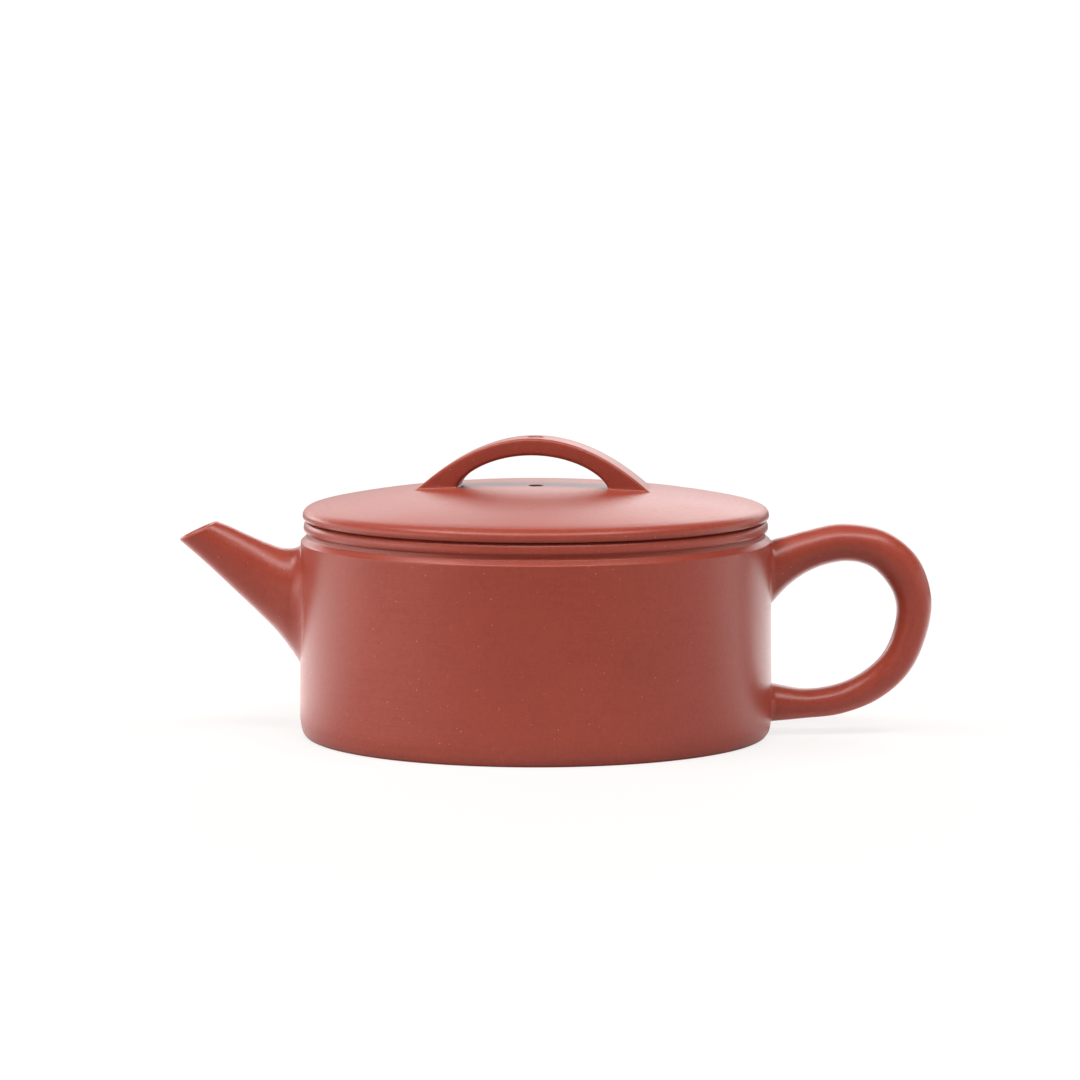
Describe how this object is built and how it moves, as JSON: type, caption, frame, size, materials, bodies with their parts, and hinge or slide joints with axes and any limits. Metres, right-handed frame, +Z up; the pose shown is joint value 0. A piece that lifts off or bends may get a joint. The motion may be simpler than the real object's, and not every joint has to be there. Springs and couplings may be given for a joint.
{
  "type": "clay teapot",
  "caption": "Low drum-shaped red clay teapot with a short slanted spout, an ear-shaped handle and an overlaid flat lid with an arched bridge knob.",
  "frame": {"origin": "on the pot's axis, at the flat underside of its base", "axes": "+Z up along the pot's axis, +X towards the handle, so the spout points to -X; +Y to the far side"},
  "size_m": [0.1495, 0.094, 0.0594],
  "materials": {
    "zisha_clay": "unglazed fine-grained red stoneware, burnished to a soft satin sheen",
    "zisha_interior": "unglazed fine-grained red stoneware, matte and unburnished"
  },
  "bodies": {
    "pot": {"base_plate": "zisha_clay", "body_wall": "zisha_clay", "shoulder_plate": "zisha_clay", "mouth_ring": "zisha_clay", "spout": "zisha_clay", "ball_strainer": "zisha_interior", "handle": "zisha_clay"},
    "lid": {"lid_seat_ring": "zisha_clay", "lid_dome": "zisha_clay", "lid_flange": "zisha_interior", "bridge_knob": "zisha_clay"}
  },
  "joints": [
    {"name": "lid_lift", "type": "slide", "parent": "pot", "child": "lid", "axis": [0, 0, 1], "range_m": [0, 0.05]}
  ]
}
